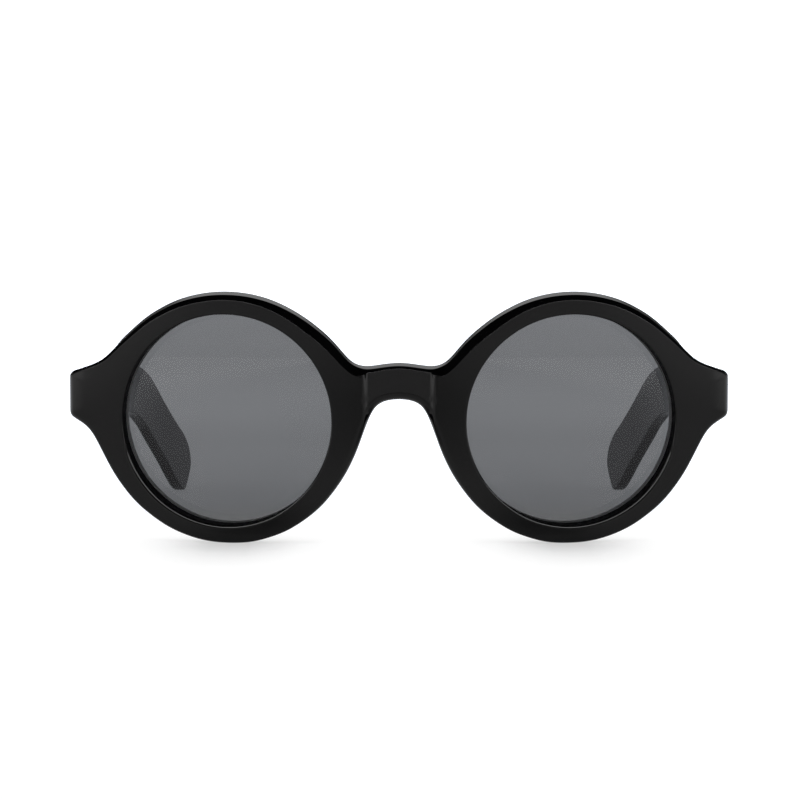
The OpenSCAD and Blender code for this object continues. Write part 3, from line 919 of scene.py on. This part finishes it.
# painted reflection shade: for glossy rays only, the floor is darkened close to the glasses and in a spot in front
# of the bridge
my = node(nt, "ShaderNodeMapRange")
my.inputs["From Min"].default_value, my.inputs["From Max"].default_value = -0.15, 0.0
nt.links.new(sep.outputs["Y"], my.inputs["Value"])
near = ramp_points(nt, [(0.067, 0.0), (0.253, 0.2), (0.4, 0.62), (0.47, 0.5), (0.51, 0.2), (0.56, 0.0)], "LINEAR")
nt.links.new(my.outputs["Result"], near.inputs["Fac"])
mp = node(nt, "ShaderNodeMapping")
mp.inputs["Location"].default_value = (0, 0.207 / 0.11, 0)
mp.inputs["Scale"].default_value = (1 / 0.085, 1 / 0.11, 0)
nt.links.new(tc.outputs["Object"], mp.inputs["Vector"])
ln = node(nt, "ShaderNodeVectorMath", operation="LENGTH")
nt.links.new(mp.outputs["Vector"], ln.inputs[0])
bridge_spot_shade = ramp_points(nt, [(0.0, 0.45), (1.0, 0.0)])
nt.links.new(ln.outputs["Value"], bridge_spot_shade.inputs["Fac"])
# painted shadow: a soft dark patch on the floor under each rim, for every ray, set by the distance from |x| = 0.035
# (fx) and in front of the rim (fz), peaking at 0.37
absx = node(nt, "ShaderNodeVectorMath", operation="ABSOLUTE")
nt.links.new(tc.outputs["Object"], absx.inputs[0])
sepa = node(nt, "ShaderNodeSeparateXYZ")
nt.links.new(absx.outputs["Vector"], sepa.inputs["Vector"])
off = node(nt, "ShaderNodeMath", operation="SUBTRACT")
off.inputs[1].default_value = 0.0350
nt.links.new(sepa.outputs["X"], off.inputs[0])
offa = node(nt, "ShaderNodeMath", operation="ABSOLUTE")
nt.links.new(off.outputs["Value"], offa.inputs[0])
mx = node(nt, "ShaderNodeMapRange")
mx.inputs["From Min"].default_value, mx.inputs["From Max"].default_value = 0.0, 0.024
nt.links.new(offa.outputs["Value"], mx.inputs["Value"])
fx = ramp_points(nt, [(0.0, 1.0), (0.16, 0.95), (0.34, 0.62), (0.6, 0.2), (0.82, 0.05), (1.0, 0.0)], "LINEAR")
nt.links.new(mx.outputs["Result"], fx.inputs["Fac"])
mz = node(nt, "ShaderNodeMapRange")
mz.inputs["From Min"].default_value, mz.inputs["From Max"].default_value = -0.13, -0.03
nt.links.new(sep.outputs["Y"], mz.inputs["Value"])
fz = ramp_points(nt, [(0.0, 0.0), (0.13, 0.06), (0.23, 0.105), (0.316, 0.165), (0.38, 0.21), (0.445, 0.285),
                      (0.533, 0.37), (0.6, 0.37), (0.72, 0.12), (0.9, 0.0)], "LINEAR")
nt.links.new(mz.outputs["Result"], fz.inputs["Fac"])
painted_rim_shadow = node(nt, "ShaderNodeMath", operation="MULTIPLY")
nt.links.new(fx.outputs["Color"], painted_rim_shadow.inputs[0])
nt.links.new(fz.outputs["Color"], painted_rim_shadow.inputs[1])
nearx = node(nt, "ShaderNodeMath", operation="MULTIPLY")
nt.links.new(near.outputs["Color"], nearx.inputs[0])
nt.links.new(fx.outputs["Color"], nearx.inputs[1])
reflection_shade = node(nt, "ShaderNodeMath", operation="MAXIMUM")
nt.links.new(nearx.outputs["Value"], reflection_shade.inputs[0])
nt.links.new(bridge_spot_shade.outputs["Color"], reflection_shade.inputs[1])
lp = node(nt, "ShaderNodeLightPath")
glossy_shade = node(nt, "ShaderNodeMath", operation="MULTIPLY")
nt.links.new(reflection_shade.outputs["Value"], glossy_shade.inputs[0])
nt.links.new(lp.outputs["Is Glossy Ray"], glossy_shade.inputs[1])
# painted reflection light: for glossy rays only, the floor glows brighter far out at both sides
mo = node(nt, "ShaderNodeMapRange")
mo.inputs["From Min"].default_value, mo.inputs["From Max"].default_value = 0.15, 0.27
nt.links.new(sepa.outputs["X"], mo.inputs["Value"])
side_reflection_lift = node(nt, "ShaderNodeMath", operation="MULTIPLY")
nt.links.new(mo.outputs["Result"], side_reflection_lift.inputs[0])
nt.links.new(lp.outputs["Is Glossy Ray"], side_reflection_lift.inputs[1])
glow = node(nt, "ShaderNodeMath", operation="MULTIPLY_ADD")
glow.inputs[1].default_value, glow.inputs[2].default_value = 1.6, 1.0
nt.links.new(side_reflection_lift.outputs["Value"], glow.inputs[0])
nt.links.new(glow.outputs["Value"], em.inputs["Strength"])
# the painted reflection shade and the painted rim shadow blend the floor towards black
none = node(nt, "ShaderNodeEmission", Strength=0.0)
painted_floor_shade = node(nt, "ShaderNodeMath", operation="MAXIMUM")
nt.links.new(glossy_shade.outputs["Value"], painted_floor_shade.inputs[0])
nt.links.new(painted_rim_shadow.outputs["Value"], painted_floor_shade.inputs[1])
mixf = node(nt, "ShaderNodeMixShader")
nt.links.new(painted_floor_shade.outputs["Value"], mixf.inputs["Fac"])
nt.links.new(add.outputs["Shader"], mixf.inputs[1])
nt.links.new(none.outputs["Emission"], mixf.inputs[2])
nt.links.new(mixf.outputs["Shader"], nt.nodes["Material Output"].inputs["Surface"])
me.materials.append(fm)


def light(kind, name, loc, target, power, glossy=True, diffuse=True, size=None, sy=None, angle=None):
    l = bpy.data.lights.new(name, kind)
    l.energy = power
    if kind == "AREA":
        l.shape = "RECTANGLE"
        l.size, l.size_y = size, sy or size
    else:
        l.angle = math.radians(angle)
    o = bpy.data.objects.new(name, l)
    o.location = loc
    o.rotation_mode = "QUATERNION"
    o.rotation_quaternion = (Vector(target) - Vector(loc)).to_track_quat("-Z", "Y")
    bpy.context.scene.collection.objects.link(o)
    o.visible_camera = False
    o.visible_glossy = glossy
    o.visible_diffuse = diffuse
    return o


# the broad overhead light: it whitens the floor and isn't mirrored in the gloss
el = math.radians(66)
light("SUN", "overhead", (0, 2 * math.cos(el), 2 * math.sin(el)), (0, 0, 0), FLOOR_LIGHT, glossy=False, angle=165)

world = bpy.data.worlds.new("world")
bpy.context.scene.world = world
world.use_nodes = True
nt = world.node_tree
nt.nodes.clear()
L = nt.links
out = node(nt, "ShaderNodeOutputWorld")
mix = node(nt, "ShaderNodeMixShader")
lp = node(nt, "ShaderNodeLightPath")
white = node(nt, "ShaderNodeBackground", Strength=1.0)
white.inputs["Color"].default_value = (BACKDROP * COOL[0], BACKDROP, BACKDROP * COOL[2], 1)
room = node(nt, "ShaderNodeBackground", Strength=1.0)
tc = node(nt, "ShaderNodeTexCoord")
sep = node(nt, "ShaderNodeSeparateXYZ")
L.new(tc.outputs["Generated"], sep.inputs["Vector"])
# how bright the room is by height, behind and in front of the glasses
rear = ramp_points(nt, [(0.0, 0.05), (0.09, 0.08), (0.17, 0.34), (0.27, 0.45), (0.51, 0.012), (1.0, 0.003)])
fore = ramp_points(nt, [(0.0, 1.6), (0.03, 1.35), (0.12, 0.75), (0.3, 0.15), (0.5, 0.012), (1.0, 0.004)])
L.new(sep.outputs["Z"], rear.inputs["Fac"])
L.new(sep.outputs["Z"], fore.inputs["Fac"])
yr = node(nt, "ShaderNodeMapRange")
yr.inputs["From Min"].default_value, yr.inputs["From Max"].default_value = -0.12, 0.12
L.new(sep.outputs["Y"], yr.inputs["Value"])
half = node(nt, "ShaderNodeMix", data_type="RGBA")
L.new(yr.outputs["Result"], half.inputs["Factor"])
L.new(fore.outputs["Color"], half.inputs[6])
L.new(rear.outputs["Color"], half.inputs[7])
# a curved light bank over the camera, and the paler walls at both sides
yb = node(nt, "ShaderNodeMapRange")
yb.inputs["From Min"].default_value, yb.inputs["From Max"].default_value = -1.0, 0.0
L.new(sep.outputs["Y"], yb.inputs["Value"])
strip = ramp_points(nt, [(0.0, 0.0), (0.3, 0.0), (0.35, 1.0), (0.47, 1.0), (0.52, 0.0), (1.0, 0.0)])
L.new(yb.outputs["Result"], strip.inputs["Fac"])
over = ramp_points(nt, [(0.0, 0.0), (0.2, 0.0), (0.28, 1.0), (1.0, 1.0)])
L.new(sep.outputs["Z"], over.inputs["Fac"])
band = node(nt, "ShaderNodeMath", operation="MULTIPLY")
L.new(strip.outputs["Color"], band.inputs[0])
L.new(over.outputs["Color"], band.inputs[1])
bandp = node(nt, "ShaderNodeMath", operation="MULTIPLY")
bandp.inputs[1].default_value = STRIP
seen = node(nt, "ShaderNodeMath", operation="MULTIPLY")
L.new(band.outputs["Value"], seen.inputs[0])
L.new(lp.outputs["Is Glossy Ray"], seen.inputs[1])
L.new(seen.outputs["Value"], bandp.inputs[0])
ax = node(nt, "ShaderNodeMath", operation="ABSOLUTE")
L.new(sep.outputs["X"], ax.inputs[0])
side = ramp_points(nt, [(0.0, 0.0), (0.72, 0.0), (0.95, SIDES), (1.0, SIDES)])
L.new(ax.outputs["Value"], side.inputs["Fac"])
low = ramp_points(nt, [(0.0, 1.0), (0.2, 1.0), (0.42, 0.0), (1.0, 0.0)])
L.new(sep.outputs["Z"], low.inputs["Fac"])
sl = node(nt, "ShaderNodeMix", data_type="RGBA", blend_type="MULTIPLY")
sl.inputs["Factor"].default_value = 1.0
L.new(side.outputs["Color"], sl.inputs[6])
L.new(low.outputs["Color"], sl.inputs[7])
tot = node(nt, "ShaderNodeMix", data_type="RGBA", blend_type="ADD")
tot.inputs["Factor"].default_value = 1.0
L.new(half.outputs[2], tot.inputs[6])
L.new(sl.outputs[2], tot.inputs[7])
tot2 = node(nt, "ShaderNodeMix", data_type="RGBA", blend_type="ADD")
tot2.inputs["Factor"].default_value = 1.0
L.new(tot.outputs[2], tot2.inputs[6])
L.new(bandp.outputs["Value"], tot2.inputs[7])
L.new(tot2.outputs[2], room.inputs["Color"])
L.new(lp.outputs["Is Camera Ray"], mix.inputs["Fac"])
L.new(room.outputs["Background"], mix.inputs[1])
L.new(white.outputs["Background"], mix.inputs[2])
L.new(mix.outputs["Shader"], out.inputs["Surface"])

sc = bpy.context.scene
sc.view_settings.view_transform = "Standard"
sc.view_settings.look = "None"

cam = bpy.data.cameras.new("camera")
cam.sensor_width = 36.0
FPX = 3893.4
cam.lens = FPX / 800 * 36.0
cam.clip_start, cam.clip_end = 0.05, 50
camo = bpy.data.objects.new("camera", cam)
bpy.context.scene.collection.objects.link(camo)
camo.location = (0, -(0.8 + MID * 0.001), 0.07416)
pitch = math.radians(3.155)
yaw = math.atan(1.015 / FPX)
look = Vector((math.sin(yaw) * math.cos(pitch), math.cos(yaw) * math.cos(pitch), -math.sin(pitch)))
camo.rotation_mode = "QUATERNION"
camo.rotation_quaternion = look.to_track_quat("-Z", "Y")
sc.camera = camo

lim = [cad_box[k][0] for k in (0, 1)]
me = front.data
for q in me.vertices:
    q.co.x = min(max(q.co.x, lim[0] + 1e-6), lim[1] - 1e-6)
me.update()
